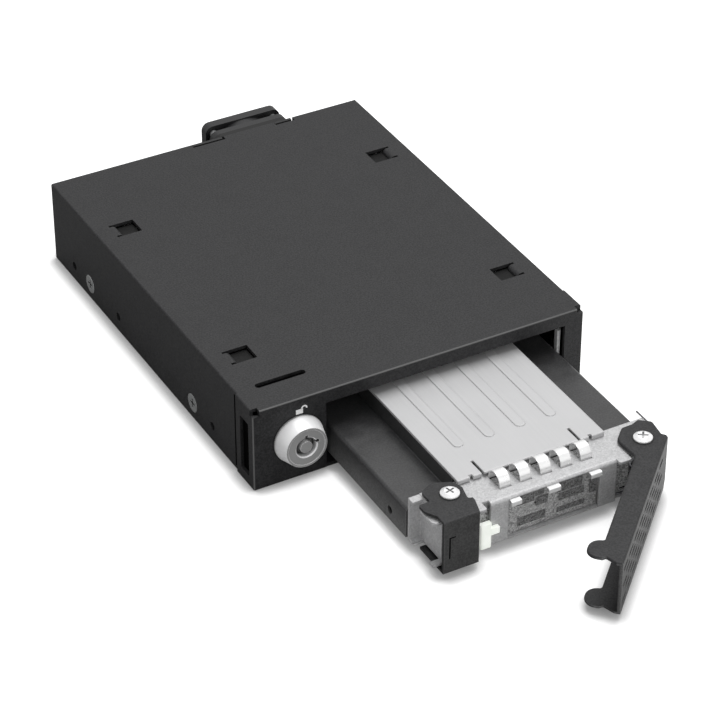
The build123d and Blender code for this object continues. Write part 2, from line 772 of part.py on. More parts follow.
def make_front_frame():
    plate = rect(frame_left, frame_right, 7.2, frame_rear)
    plate += rect(frame_left, lever_pivot[0], frame_wall_front + 1.6, 8)
    plate += disc(*lever_pivot, lever_relief_radius)
    ear = outline([(ear_left, ear_front), (frame_left + 12, ear_front), (frame_left + 12, ear_rear),
                   (ear_left, ear_rear)], [1.6, 0, 0, 1.2])
    top = plate + ear
    top += rect(frame_wall[0], frame_wall[1], frame_wall_front + 1, frame_wall_front + 3)
    top += rect(*left_lug, lug_front, ear_rear, 0.5)
    top += rect(*right_lug, lug_front, ear_rear, 0.5)
    slots = []
    for i in range(finger_count):
        x = finger_centre + finger_pitch * (i - (finger_count - 1) / 2)
        slots.append(rect(x - finger_slot / 2, x + finger_slot / 2, finger_root - 0.4,
                          finger_root + 2 * finger_radius + 0.4))
    top -= slots
    body = along_z(top, plate_bottom, frame_top)
    bottom = plate + rect(ear_left + 0.1, frame_left + 1, ear_front, ear_front + 1.8)
    body += along_z(bottom, frame_bottom, frame_bottom + tray_sheet)
    # The front wall folds down from the top plate, and its window is left open
    wall_y = frame_wall_front + tray_sheet / 2
    top_level = frame_top - tray_sheet / 2
    bottom_level = frame_bottom + tray_sheet / 2
    front = folded([(6, top_level), (wall_y, top_level), (wall_y, bottom_level), (6, bottom_level)],
                   tray_sheet, tray_bend)
    wall = along_x(front, *frame_wall)
    body += wall - block(*frame_window, 0, 5.8, frame_bottom + tray_sheet, plate_bottom)
    # The left side wall and the bracket that the lock cam stops
    side_line = [(frame_left + tray_sheet / 2, 3.8), (frame_left + tray_sheet / 2, frame_rear - tray_sheet / 2),
                 (ear_left, frame_rear - tray_sheet / 2)]
    body += along_z(folded(side_line, tray_sheet, tray_bend), frame_bottom + 0.3, frame_top - 0.2)
    for level in (frame_bottom + 0.3, frame_top - 0.2 - tray_sheet):
        body += block(ear_left, frame_left + tray_sheet, frame_rear - tray_sheet - bracket_lip, frame_rear,
                      level, level + tray_sheet)
    holes = [along_z(disc(*place, pivot_radius + 0.03), 0, frame_top + 1) for place in (lever_pivot, latch_pivot)]
    holes += [along_z(disc(x, y, thread_radius), 0, frame_bottom + 1) for x, y in rivet_places()]
    return body - holes


def make_frame_rivets():
    rivets = []
    seat = frame_bottom + tray_sheet
    for x, y in rivet_places():
        profile = make_face(Polyline((0, pan_bottom), (thread_radius - 0.03, pan_bottom),
                                     (thread_radius - 0.03, seat), (1.9, seat), (1.7, seat + 0.5),
                                     (0, seat + 0.7), close=True).edges())
        rivets.append(turned(profile, x, y))
    return rivets


def make_contact_fingers():
    level = plate_bottom - finger_sheet / 2 - 0.05
    low = level - finger_sheet / 2
    crown_z = finger_apex - finger_radius
    crown_y = finger_root + finger_radius
    first = finger_centre - finger_pitch * (finger_count - 1) / 2 - finger_slot / 2
    last = finger_centre + finger_pitch * (finger_count - 1) / 2 + finger_slot / 2
    strip = block(first, last, frame_wall_front + 2, finger_root + finger_sheet, low, low + finger_sheet)
    ring = disc(crown_y, crown_z, finger_radius) - disc(crown_y, crown_z, finger_radius - finger_sheet)
    ring &= rect(0, 40, crown_z, 40)
    arch = ring + rect(finger_root, finger_root + finger_sheet, low, crown_z)
    arch += rect(crown_y + finger_radius - finger_sheet, crown_y + finger_radius, plate_bottom + 0.3, crown_z)
    body = strip
    for i in range(finger_count):
        x = finger_centre + finger_pitch * (i - (finger_count - 1) / 2)
        body += along_x(arch, x - finger_width / 2, x + finger_width / 2)
    front = lug_front + 0.25
    hook = folded([(frame_wall_front + 3, level), (front, level), (front, level - 1.3)],
                  finger_sheet, finger_sheet)
    for left, right in hook_tabs:
        body += along_x(hook, max(left, first), right)
    return body


def make_vent_plate():
    low = frame_bottom + tray_sheet
    high = plate_bottom - finger_sheet - 0.2
    rear = vent_front + vent_sheet
    x0, x1 = frame_window[0] + 0.2, frame_window[1] - 0.1
    plate = block(x0, x1, vent_front, rear, low, high)
    recesses = [(-2.0, 3.4, 12.0, high), (10.2, 18.0, 11.9, 15.7), (10.3, 19.0, 5.4, 7.2), (-1.7, 7.0, 5.3, 8.2)]
    cuts = [block(a, b, vent_front - 1, vent_front + vent_recess, c, d) for a, b, c, d in recesses]
    cuts.append(along_y(disc(3.9, 11.4, 0.5), vent_front - 1, rear + 1))
    cuts.append(block(x0 + 3, vent_foot, vent_front - 1, rear + 1, 0, vent_skirt))
    return plate - cuts


def make_pivot_screws():
    screws = []
    seat = handle_top + running_gap
    for (x, y), turn in zip((lever_pivot, latch_pivot), cross_turns):
        profile = make_face(Polyline((0, handle_bottom - 0.1), (pivot_radius, handle_bottom - 0.1),
                                     (pivot_radius, seat), (pivot_head_radius, seat),
                                     (pivot_head_radius, seat + 0.4), (pivot_head_radius * 0.6,
                                     seat + pivot_head_height), (0, seat + pivot_head_height),
                                     close=True).edges())
        recess = Pos(x, y, 0) * Rot(0, 0, turn) * cross_cut(seat + pivot_head_height, cross_size)
        screws.append(turned(profile, x, y) - recess)
    return screws


def make_pivot_washers():
    washers = []
    top = handle_top - handle_sheet - running_gap
    for x, y in (lever_pivot, latch_pivot):
        ring = disc(x, y, washer_radius) - disc(x, y, pivot_radius + 0.03)
        washers.append(along_z(ring, frame_top, top))
    return washers


def torsion_spring(x, y, low, coils, legs):
    # A close-wound coil round the pivot with two straight legs
    pitch = wire * 0.94
    section = Sketch()
    for i in range(coils):
        section += disc(coil_mean, low + wire / 2 + pitch * i, wire / 2)
    spring = turned(section, x, y)
    top = low + wire / 2 + pitch * (coils - 1)
    for level, (dx, dy, length) in zip((low + wire / 2, top), legs):
        reach = math.hypot(dx, dy)
        way = Vector(dx / reach, dy / reach, 0)
        start = Vector(x - way.Y * coil_mean, y + way.X * coil_mean, level) - way * wire
        spring += extrude(Plane(start, z_dir=way) * Circle(wire / 2 - 0.02), length + wire)
    return spring


def make_lever_spring():
    return torsion_spring(*lever_pivot, frame_bottom + tray_sheet + 0.3, lever_coils, ((-1, 0.15, 9), (-0.9, 0.45, 8)))


def make_latch_spring():
    return torsion_spring(*latch_pivot, frame_bottom + tray_sheet + 0.3, latch_coils, ((1, 0.25, 5.5), (0.8, -0.6, 4)))


def make_earth_wire():
    # A thin square earth wire: it starts on the frame under the lever's hub and runs back along the side
    x = tray_centre + tray_width / 2
    edge = x - earth_sheet / 2
    line = [(x - 3.4, earth_root), (edge, earth_root + 2.4), (edge, earth_end)]
    return along_z(folded(line, earth_sheet, earth_sheet), frame_top, frame_top + earth_sheet)


def make_light_pipe():
    low, high = pipe_height
    bar = block(pipe_left, pipe_right, pipe_front, pipe_front + pipe_thickness, low, high)
    bar = fillet(bar.edges().filter_by(Axis.Z).group_by(Axis.Y)[0], 0.5)
    nub_end, nub_low, nub_high = pipe_nub
    bar += block(pipe_right - 0.5, nub_end, pipe_front, frame_wall_front - 0.2, nub_low, nub_high)
    middle = (pipe_left + pipe_right) / 2
    arm = folded([(pipe_front + 0.8, pipe_arm_z), (pipe_arm_end, pipe_arm_z), (pipe_arm_end, adaptor_bottom - 0.1)],
                 pipe_thickness, 0.6)
    return bar + along_x(arm, middle - 0.8, middle + 0.8)


# Drive bay of the tray

def make_drive_lid():
    left, right = tray_centre - lid_width / 2, tray_centre + lid_width / 2
    low, high = upstand_top, upstand_top + tray_sheet
    lid = block(left, right, lid_front, lid_rear, low, high)
    # The outer front strips fold down in front of the bay
    for side in (-1, 1):
        inner = tray_centre + side * (lid_slot_offset + lid_slot / 2)
        outer = tray_centre + side * lid_width / 2
        a, b = sorted((inner, outer))
        lid += block(a, b, lid_front, lid_front + tray_sheet, low - lid_fold, high)
    lid = fillet(lid.edges().filter_by(Axis.X).group_by(Axis.Y)[0].sort_by(Axis.Z)[-3:], 0.3)
    ribs = []
    cuts = []
    for offset in lid_rib_offsets:
        x = tray_centre + offset
        length = lid_rear - 4 - lid_rib_front
        slot = Pos(x, lid_rib_front + length / 2) * SlotOverall(length, lid_rib_width, rotation=90)
        groove = Pos(x, lid_rib_front + length / 2) * SlotOverall(length - 1, lid_rib_width - 1.2, rotation=90)
        ribs.append(along_z(slot, low, high + lid_rib_height))
        cuts.append(along_z(groove, low - 1, low + lid_rib_height))
    for side in (-1, 1):
        x = tray_centre + side * lid_slot_offset
        cuts.append(block(x - lid_slot / 2, x + lid_slot / 2, lid_front - 1, lid_front + lid_slot_depth, 0, 30))
        x = tray_centre + side * lid_notch_offset
        cuts.append(block(x - 0.5, x + 0.5, lid_front - 1, lid_front + 1, 0, 30))
    return lid + ribs - cuts


def make_thermal_pad():
    top = upstand_top
    low = drive_bottom + drive_sheet + chip_height
    return block(tray_centre - pad_width / 2, tray_centre + pad_width / 2, pad_front, pad_rear, low, top)


def make_drive_board():
    half = drive_width / 2
    board = block(tray_centre - half, tray_centre + half, drive_front, drive_front + drive_length,
                  drive_bottom, drive_bottom + drive_sheet)
    notch = along_z(disc(tray_centre, drive_front, 1.8), drive_bottom - 1, drive_bottom + 2)
    key = block(tray_centre + 4, tray_centre + 5.2, drive_front + drive_length - 3.4,
                drive_front + drive_length + 1, drive_bottom - 1, drive_bottom + 2)
    return board - notch - key


def make_drive_chips():
    low = drive_bottom + drive_sheet
    return [block(tray_centre - w / 2, tray_centre + w / 2, y - l / 2, y + l / 2, low, low + chip_height)
            for w, l, y in chips]


def make_drive_post():
    # A standoff that carries the front end of the drive board, with its screw
    seat = drive_bottom + drive_sheet
    profile = make_face(Polyline((0, adaptor_top), (standoff_radius, adaptor_top), (standoff_radius, drive_bottom),
                                 (1.7, drive_bottom), (1.7, seat), (standoff_radius, seat),
                                 (standoff_radius, seat + 0.5), (1.4, seat + 1.0), (0, seat + 1.0),
                                 close=True).edges())
    return turned(profile, tray_centre, drive_front)


def make_drive_socket():
    rear = drive_front + drive_length
    half = drive_width / 2 + 1
    body = block(tray_centre - half, tray_centre + half, rear - 3, rear + 3, adaptor_top, drive_bottom + 1.8)
    slot = block(tray_centre - drive_width / 2 - 0.1, tray_centre + drive_width / 2 + 0.1, rear - 4, rear + 0.1,
                 drive_bottom - 0.05, drive_bottom + drive_sheet + 0.05)
    return body - slot


def make_adaptor_board():
    board = block(tray_centre - adaptor_half_width, tray_centre + adaptor_half_width, adaptor_front,
                  tray_length - 0.5, adaptor_bottom, adaptor_top)
    board += block(tray_centre - tongue_half_width, tray_centre + tongue_half_width, tray_length - 2,
                   tray_length + tongue_length, adaptor_bottom, adaptor_top)
    holes = [along_z(disc(x, y, thread_radius), 0, 30) for x, y in standoff_places()]
    return board - holes


def standoff_places():
    return [(tray_centre + side * standoff_x, y) for side in (-1, 1) for y in standoff_y]


def make_board_standoffs():
    low = pan_bottom + tray_sheet
    return [along_z(disc(x, y, standoff_radius) - disc(x, y, thread_radius), low, adaptor_bottom)
            for x, y in standoff_places()]


def make_board_screws():
    screws = []
    limit = deck_top - tray_sheet - adaptor_top - sheet_slip
    head = min(small_head_height, limit)
    for x, y in standoff_places():
        profile = make_face(Polyline((0, adaptor_bottom - 3), (thread_radius - 0.02, adaptor_bottom - 3),
                                     (thread_radius - 0.02, adaptor_top), (small_head_radius, adaptor_top),
                                     (small_head_radius, adaptor_top + head * 0.5),
                                     (small_head_radius * 0.6, adaptor_top + head),
                                     (0, adaptor_top + head), close=True).edges())
        screws.append(turned(profile, x, y))
    return screws


# Ejector lever, drawn closed: u runs from the pivot to the hook, v from the face inwards

def make_ejector_lever():
    face = -lever_pivot[1]
    points = [(-3.65, face), (-3.65, -4.3), (-8.35, -0.8), (-8.0, 3.15), (-5.6, 4.2), (-3.2, 6.45), (2.6, 6.45),
              (8.0, 0.4), (44.3, 0.4), (45.0, 4.0), (51.7, 4.0), (51.7, -0.6), (50.9, -1.4), (52.5, -4.4),
              (52.5, face)]
    radii = [1.2, 0.8, 1.0, 0.8, 1.0, 1.5, 3.0, 2.5, 0.8, 3.2, 3.2, 0.4, 0.4, 0.5, 0]
    body = along_z(outline(points, radii), handle_bottom, handle_top)
    body -= block(-20, 60, face + lever_web, 20, handle_bottom + handle_sheet, handle_top - handle_sheet)
    folds = body.edges().filter_by(Axis.X).group_by(Axis.Y)[0]
    body = fillet(folds, 0.6)
    corner = outline([(-3.65 - 1, handle_bottom - 1), (-3.65 + lever_chamfer, handle_bottom - 1),
                      (-3.65 - 1, handle_bottom + lever_chamfer + 1)], [0, 0, 0])
    body -= along_y(corner, face - 1, face + lever_web)
    # Rows of vent slots, laid like bricks
    length, width = lever_slot
    middle = (handle_bottom + handle_top) / 2
    slots = []
    for row in range(lever_rows):
        level = middle + lever_row_pitch * (row - (lever_rows - 1) / 2)
        shift = lever_slot_pitch / 2 * (row % 2)
        for i in range(lever_row_slots):
            u = lever_first_slot + shift + lever_slot_pitch * i
            if u + length / 2 < 51.5:
                slots.append(Pos(u, level) * SlotOverall(length, width))
    body -= [along_y(slot, face - 1, face + lever_web + 1) for slot in slots]
    body -= along_z(disc(0, 0, pivot_radius + running_gap), 0, 30)
    # The hook end points to the left, so the lever is turned half round its length
    body = body.mirror(Plane.YZ)
    opened = Rot(0, 0, lever_open_angle) * body
    return Pos(lever_pivot[0], lever_pivot[1], 0) * opened


def make_release_latch():
    points = [(latch_left, 0), (latch_left, 3.6), (-27.95, 6.9), (-27.95, 9.85), (-24.6, 9.85), (-24.6, 14.4),
              (-20.4, 16.4), (-15.3, 14.0), (-14.4, 11.0), (-15.45, 6.4), (-14.2, 6.05), (-14.2, 4.9),
              (latch_right, 0)]
    radii = [0, 1.2, 1.8, 0.5, 0.5, 1.2, 1.8, 1.4, 1.2, 0.6, 0.3, 0.4, 0]
    top = along_z(outline(points, radii), handle_top - handle_sheet, handle_top)
    cover = block(latch_left, latch_right, 0, lever_web, handle_bottom, handle_top)
    bottom = block(latch_left, latch_right, 0, latch_flange_depth, handle_bottom, handle_bottom + handle_sheet)
    body = top + cover + bottom
    folds = body.edges().filter_by(Axis.X).group_by(Axis.Y)[0]
    body = fillet(folds, 0.5)
    # A fine line cut in the face marks where to press
    x, end, low, high = latch_mark
    body -= block(x - mark_width / 2, x + mark_width / 2, -1, mark_depth, low, high)
    body -= block(x, end, -1, mark_depth, high - mark_width, high)
    return body - along_z(disc(*latch_pivot, pivot_radius + running_gap), 0, 30)


cage_nodes = {
    "cage_cover": make_cage_cover,
    "cage_base": make_cage_base,
    "left_guide_rail": make_left_guide_rail,
    "right_guide_rail": make_right_guide_rail,
    "side_screws": make_side_screws,
    "lock_housing": make_lock_housing,
    "lock_nut": make_lock_nut,
    "lock_plug": make_lock_plug,
    "lock_cam": make_lock_cam,
    "lock_cam_screw": make_lock_cam_screw,
    "backplane_board": make_backplane_board,
    "backplane_screws": make_backplane_screws,
    "backplane_socket": make_backplane_socket,
    "data_connector": make_data_connector,
    "power_connector": make_power_connector,
    "fan_gasket": make_fan_gasket,
    "fan_frame": make_fan_frame,
    "fan_rotor": make_fan_rotor,
    "fan_screws": make_fan_screws,
}
tray_nodes = {
    "tray_pan": make_tray_pan,
    "tray_cover": make_tray_cover,
    "front_frame": make_front_frame,
    "frame_rivets": make_frame_rivets,
    "contact_fingers": make_contact_fingers,
    "vent_plate": make_vent_plate,
    "pivot_screws": make_pivot_screws,
    "pivot_washers": make_pivot_washers,
    "lever_spring": make_lever_spring,
    "latch_spring": make_latch_spring,
    "earth_wire": make_earth_wire,
    "light_pipe": make_light_pipe,
    "drive_lid": make_drive_lid,
    "thermal_pad": make_thermal_pad,
    "drive_board": make_drive_board,
    "drive_chips": make_drive_chips,
    "drive_post": make_drive_post,
    "drive_socket": make_drive_socket,
    "adaptor_board": make_adaptor_board,
    "board_standoffs": make_board_standoffs,
    "board_screws": make_board_screws,
    "ejector_lever": make_ejector_lever,
    "release_latch": make_release_latch,
}


def save(name, made, shift):
    # A node of one solid, or of several alike, goes out at its place in the part's frame
    solids = made if isinstance(made, list) else [made]
    solids = [solid for piece in solids for solid in piece.solids()]
    placed = [Pos(0, shift, 0) * solid for solid in solids]
    node = placed[0] if len(placed) == 1 else Compound(children=placed)
    node.label = name
    export_step(node, f"parts/{name}.step")


# The part's origin is the middle of the cage's bottom face
os.makedirs("parts", exist_ok=True)
for name, make in cage_nodes.items():
    save(name, make(), -bay_depth / 2)
for name, make in tray_nodes.items():
    save(name, make(), -bay_depth / 2 - tray_travel)
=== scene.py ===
import bpy
import bmesh
import math
from mathutils import Matrix, Vector


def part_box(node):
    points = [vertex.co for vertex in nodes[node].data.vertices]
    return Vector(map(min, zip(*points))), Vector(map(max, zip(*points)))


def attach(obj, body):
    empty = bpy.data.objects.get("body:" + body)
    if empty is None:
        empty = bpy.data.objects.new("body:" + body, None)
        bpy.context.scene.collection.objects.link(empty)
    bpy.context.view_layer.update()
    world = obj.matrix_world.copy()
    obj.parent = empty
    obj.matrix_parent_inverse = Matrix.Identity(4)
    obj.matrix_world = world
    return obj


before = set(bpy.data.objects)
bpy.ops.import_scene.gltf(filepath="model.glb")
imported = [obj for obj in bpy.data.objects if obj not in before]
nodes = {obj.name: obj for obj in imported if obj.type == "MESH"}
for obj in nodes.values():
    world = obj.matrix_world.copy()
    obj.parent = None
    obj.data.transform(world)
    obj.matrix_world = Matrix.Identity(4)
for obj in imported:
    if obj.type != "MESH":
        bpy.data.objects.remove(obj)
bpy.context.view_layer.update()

mm = 0.001
print("frame loaded,", len(nodes), "nodes")

# The cage's front face, read from the frame
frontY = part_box("cage_cover")[0].y


# Node helpers

def maths(tree, operation, *values, clamp=False):
    # A Math node whose values are numbers or sockets
    node = tree.nodes.new("ShaderNodeMath")
    node.operation = operation
    node.use_clamp = clamp
    for socket, value in zip(node.inputs, values):
        if isinstance(value, (int, float)):
            socket.default_value = value
        else:
            tree.links.new(value, socket)
    return node.outputs[0]


def axisOf(tree, vector, axis):
    split = tree.nodes.new("ShaderNodeSeparateXYZ")
    tree.links.new(vector, split.inputs[0])
    return split.outputs[axis]


def objectAxis(tree, axis):
    place = tree.nodes.new("ShaderNodeTexCoord")
    return axisOf(tree, place.outputs["Object"], axis)


def mixColour(tree, factor, low, high, target=None):
    # Two colours by a mask, low and high being colours or sockets
    mix = tree.nodes.new("ShaderNodeMix")
    mix.data_type = "RGBA"
    tree.links.new(factor, mix.inputs["Factor"])
    for socket, value in ((mix.inputs[6], low), (mix.inputs[7], high)):
        if isinstance(value, tuple):
            socket.default_value = (*value, 1)
        else:
            tree.links.new(value, socket)
    if target is not None:
        tree.links.new(mix.outputs[2], target)
    return mix.outputs[2]


def spread(tree, value, span, low=0, high=1, target=None):
    # Stretches one span of a mask to a range of values
    ranged = tree.nodes.new("ShaderNodeMapRange")
    ranged.inputs["From Min"].default_value, ranged.inputs["From Max"].default_value = span
    ranged.inputs["To Min"].default_value = low
    ranged.inputs["To Max"].default_value = high
    tree.links.new(value, ranged.inputs["Value"])
    if target is not None:
        tree.links.new(ranged.outputs[0], target)
    return ranged.outputs[0]


def grey(level):
    return (level, level, level)


# Camera and lights

camera = {
    "place": (-0.32842, -0.56100, 0.48310),  # metres, y from the front face of the cage
    "turn": -28.874,
    "height": 35.174,
    "lens": 148.34,
    "sensor": 36,
    "nearest": 0.01,
}
studio = {
    "worldFill": 0.42,
    "worldMirrored": 0.80,
    "worldShown": 1.0,
    "floorHalf": 3.0,
    "floorLevel": -0.3 * mm,
    "floorRoughness": 0.9,
    "floorColour": grey(0.66),
    "floorMirrored": grey(0.24),
    "floorGlow": 0.72,
    "contactSamples": 12,
    "contactReach": 4.2 * mm,
    "contactSpan": (0.46, 1),
    "contactFade": 1.5,
    "contactShown": 0.17,
    "cardEdge": (8 * mm, 40 * mm),
    "paintedCardColour": grey(0.95),
    "lamps": {
        # name: place, aim, size, watts
        "overhead": ((0.22, 0.12, 1.05), (0, -0.02, 0), 0.8, 8.1),
        "front": ((0.02, -1.10, 0.50), (0.01, -0.11, 0.01), 1.0, 3.0),
    },
}


def makeCamera():
    data = bpy.data.cameras.new("photoCamera")
    data.lens = camera["lens"]
    data.sensor_width = camera["sensor"]
    data.clip_start = camera["nearest"]
    turn, height = math.radians(camera["turn"]), math.radians(camera["height"])
    level = math.cos(height)
    back = Vector((math.sin(turn) * level, -math.cos(turn) * level, math.sin(height)))
    right = Vector((0, 0, 1)).cross(back).normalized()
    up = back.cross(right)
    rig = bpy.data.objects.new("photoCamera", data)
    rig.matrix_world = Matrix((right, up, back)).transposed().to_4x4()
    rig.location = Vector(camera["place"]) + Vector((0, frontY, 0))
    bpy.context.collection.objects.link(rig)
    bpy.context.scene.camera = rig


def makeLamps():
    for name, (place, aim, size, watts) in studio["lamps"].items():
        data = bpy.data.lights.new(name, "AREA")
        data.size = size
        data.energy = watts
        lamp = bpy.data.objects.new(name, data)
        lamp.location = place
        lamp.rotation_euler = (Vector(aim) - Vector(place)).to_track_quat("-Z", "Y").to_euler()
        bpy.context.collection.objects.link(lamp)


def makeWorld():
    world = bpy.data.worlds.new("studioWorld")
    bpy.context.scene.world = world
    world.use_nodes = True
    tree = world.node_tree
    background = tree.nodes["Background"]
    background.inputs["Color"].default_value = (1, 1, 1, 1)
    path = tree.nodes.new("ShaderNodeLightPath")
    mirrored = maths(tree, "MAXIMUM", path.outputs["Is Glossy Ray"],
                     path.outputs["Is Transmission Ray"])
    # Each kind of ray adds its own share to the fill
    value = studio["worldFill"]
    for ray, name in ((mirrored, "worldMirrored"), (path.outputs["Is Camera Ray"], "worldShown")):
        value = maths(tree, "MULTIPLY_ADD", ray, studio[name] - studio["worldFill"], value)
    tree.links.new(value, background.inputs["Strength"])


def makeFloor():
    half, level = studio["floorHalf"], studio["floorLevel"]
    sides = [(-half, -half), (half, -half), (half, half), (-half, half)]
    mesh = bpy.data.meshes.new("floor")
    mesh.from_pydata([(x, y, level) for x, y in sides], [], [(0, 1, 2, 3)])
    floor = bpy.data.objects.new("floor", mesh)
    bpy.context.collection.objects.link(floor)
    paint = bpy.data.materials.new("floorPaint")
    paint.use_nodes = True
    tree = paint.node_tree
    shader = tree.nodes["Principled BSDF"]
    shader.inputs["Roughness"].default_value = studio["floorRoughness"]
    shader.inputs["Emission Color"].default_value = (1, 1, 1, 1)
    path = tree.nodes.new("ShaderNodeLightPath")
    # Painted reflection: the floor is darker where metal mirrors it, with a painted white card at
    # the right that only reflections see
    beside = spread(tree, objectAxis(tree, "X"), studio["cardEdge"])
    card = mixColour(tree, beside, studio["floorMirrored"], studio["paintedCardColour"])
    mixColour(tree, path.outputs["Is Glossy Ray"], studio["floorColour"], card,
              shader.inputs["Base Color"])
    # The glow that lifts it to white fades out close to the part, which keeps the contact shadow
    near = tree.nodes.new("ShaderNodeAmbientOcclusion")
    near.samples = studio["contactSamples"]
    near.inputs["Distance"].default_value = studio["contactReach"]
    opened = spread(tree, near.outputs["AO"], studio["contactSpan"])
    fade = maths(tree, "POWER", opened, studio["contactFade"])
    least = maths(tree, "MAXIMUM", fade, studio["contactShown"])
    seen = maths(tree, "MULTIPLY", least, path.outputs["Is Camera Ray"])
    glow = maths(tree, "MULTIPLY", seen, studio["floorGlow"])
    tree.links.new(glow, shader.inputs["Emission Strength"])
    mesh.materials.append(paint)


# Shader groups that more than one finish uses

def startGroup(name, inputs, outputs):
    group = bpy.data.node_groups.new(name, "ShaderNodeTree")
    for label, value in inputs.items():
        socket = group.interface.new_socket(label, in_out="INPUT", socket_type="NodeSocketFloat")
        socket.default_value = value
    for label, kind in outputs.items():
        group.interface.new_socket(label, in_out="OUTPUT", socket_type=kind)
    return group, group.nodes.new("NodeGroupInput"), group.nodes.new("NodeGroupOutput")


# How the two noises of each surface are mixed, and how finely edges and recesses are sampled
groupLook = {"peelShare": 0.7, "streakShare": 0.5, "edgeSamples": 4, "recessSamples": 6}


def addNoise(tree, scaleFrom, detail, roughness=0.5):
    place = tree.nodes.new("ShaderNodeTexCoord")
    noise = tree.nodes.new("ShaderNodeTexNoise")
    noise.inputs["Detail"].default_value = detail
    noise.inputs["Roughness"].default_value = roughness
    tree.links.new(place.outputs["Object"], noise.inputs["Vector"])
    tree.links.new(scaleFrom, noise.inputs["Scale"])
    return noise


def makeCoatGroup():
    # Powder coat: a fine orange peel with a faint mottle
    group, start, end = startGroup("powderCoat", {"Peel Scale": 2200, "Mottle Scale": 260},
                                   {"Peel": "NodeSocketFloat", "Mottle": "NodeSocketFloat",
                                    "Grain": "NodeSocketFloat"})
    peel = addNoise(group, start.outputs["Peel Scale"], detail=2)
    mottle = addNoise(group, start.outputs["Mottle Scale"], detail=4, roughness=0.65)
    grain = group.nodes.new("ShaderNodeMix")
    grain.inputs["Factor"].default_value = groupLook["peelShare"]
    group.links.new(mottle.outputs["Fac"], grain.inputs["A"])
    group.links.new(peel.outputs["Fac"], grain.inputs["B"])
    group.links.new(grain.outputs["Result"], end.inputs["Grain"])
    group.links.new(peel.outputs["Fac"], end.inputs["Peel"])
    group.links.new(mottle.outputs["Fac"], end.inputs["Mottle"])
    return group


def makeRolledGroup():
    # Rolled sheet: streaks along Y, with the stretch as an input
    group, start, end = startGroup("rolledSheet", {"Across": 1400, "Along": 40, "Cloud Scale": 60},
                                   {"Streak": "NodeSocketFloat", "Cloud": "NodeSocketFloat"})
    place = group.nodes.new("ShaderNodeTexCoord")
    stretch = group.nodes.new("ShaderNodeVectorMath")
    stretch.operation = "MULTIPLY"
    scale = group.nodes.new("ShaderNodeCombineXYZ")
    group.links.new(start.outputs["Across"], scale.inputs["X"])
    group.links.new(start.outputs["Along"], scale.inputs["Y"])
    group.links.new(start.outputs["Across"], scale.inputs["Z"])
    group.links.new(place.outputs["Object"], stretch.inputs[0])
    group.links.new(scale.outputs[0], stretch.inputs[1])
    streak = group.nodes.new("ShaderNodeTexNoise")
    streak.inputs["Scale"].default_value = 1
    streak.inputs["Detail"].default_value = 3
    group.links.new(stretch.outputs[0], streak.inputs["Vector"])
    cloud = addNoise(group, start.outputs["Cloud Scale"], detail=3)
    group.links.new(streak.outputs["Fac"], end.inputs["Streak"])
    group.links.new(cloud.outputs["Fac"], end.inputs["Cloud"])
    return group


def makeSpangleGroup():
    # Galvanised sheet: crystals of different tone with a fine grain over them
    group, start, end = startGroup("spangle",
                                   {"Crystal Scale": 420, "Grain Scale": 3200, "Grain Share": 0.45},
                                   {"Tone": "NodeSocketFloat", "Grain": "NodeSocketFloat"})
    place = group.nodes.new("ShaderNodeTexCoord")
    cells = group.nodes.new("ShaderNodeTexVoronoi")
    group.links.new(place.outputs["Object"], cells.inputs["Vector"])
    group.links.new(start.outputs["Crystal Scale"], cells.inputs["Scale"])
    split = group.nodes.new("ShaderNodeSeparateColor")
    group.links.new(cells.outputs["Color"], split.inputs[0])
    grain = addNoise(group, start.outputs["Grain Scale"], detail=3, roughness=0.7)
    mix = group.nodes.new("ShaderNodeMix")
    group.links.new(start.outputs["Grain Share"], mix.inputs["Factor"])
    group.links.new(split.outputs[0], mix.inputs["A"])
    group.links.new(grain.outputs["Fac"], mix.inputs["B"])
    group.links.new(mix.outputs["Result"], end.inputs["Tone"])
    group.links.new(grain.outputs["Fac"], end.inputs["Grain"])
    return group


def makeEdgeGroup():
    # Edges: where the rounded normal leaves the true one, the surface gets a painted highlight and
    # looks paler
    group, start, end = startGroup("foldedEdge", {"Width": 0.4 * mm, "Gain": 3.0},
                                   {"Edge": "NodeSocketFloat", "Normal": "NodeSocketVector",
                                    "Front": "NodeSocketFloat"})
    rounded = group.nodes.new("ShaderNodeBevel")
    rounded.samples = groupLook["edgeSamples"]
    group.links.new(start.outputs["Width"], rounded.inputs["Radius"])
    shape = group.nodes.new("ShaderNodeNewGeometry")
    match = group.nodes.new("ShaderNodeVectorMath")
    match.operation = "DOT_PRODUCT"
    group.links.new(rounded.outputs[0], match.inputs[0])
    group.links.new(shape.outputs["Normal"], match.inputs[1])
    gap = maths(group, "SUBTRACT", 1, match.outputs["Value"])
    edge = maths(group, "MULTIPLY", gap, start.outputs["Gain"], clamp=True)
    group.links.new(edge, end.inputs["Edge"])
    group.links.new(rounded.outputs[0], end.inputs["Normal"])
    # How far the surface looks to the front of its own piece
    own = group.nodes.new("ShaderNodeVectorTransform")
    own.vector_type = "NORMAL"
    own.convert_from = "WORLD"
    own.convert_to = "OBJECT"
    group.links.new(rounded.outputs[0], own.inputs[0])
    front = maths(group, "MULTIPLY", axisOf(group, own.outputs[0], "Y"), -1)
    group.links.new(front, end.inputs["Front"])
    return group


def makeRecessGroup():
    # Recesses: where close walls shade the surface, a mask for painted shade
    group, start, end = startGroup("recessShade", {"Reach": 0.6 * mm, "Gain": 1.6},
                                   {"Recess": "NodeSocketFloat"})
    near = group.nodes.new("ShaderNodeAmbientOcclusion")
    near.samples = groupLook["recessSamples"]
    group.links.new(start.outputs["Reach"], near.inputs["Distance"])
    shut = maths(group, "SUBTRACT", 1, near.outputs["AO"])
    recessShade = maths(group, "MULTIPLY", shut, start.outputs["Gain"], clamp=True)
    group.links.new(recessShade, end.inputs["Recess"])
    return group


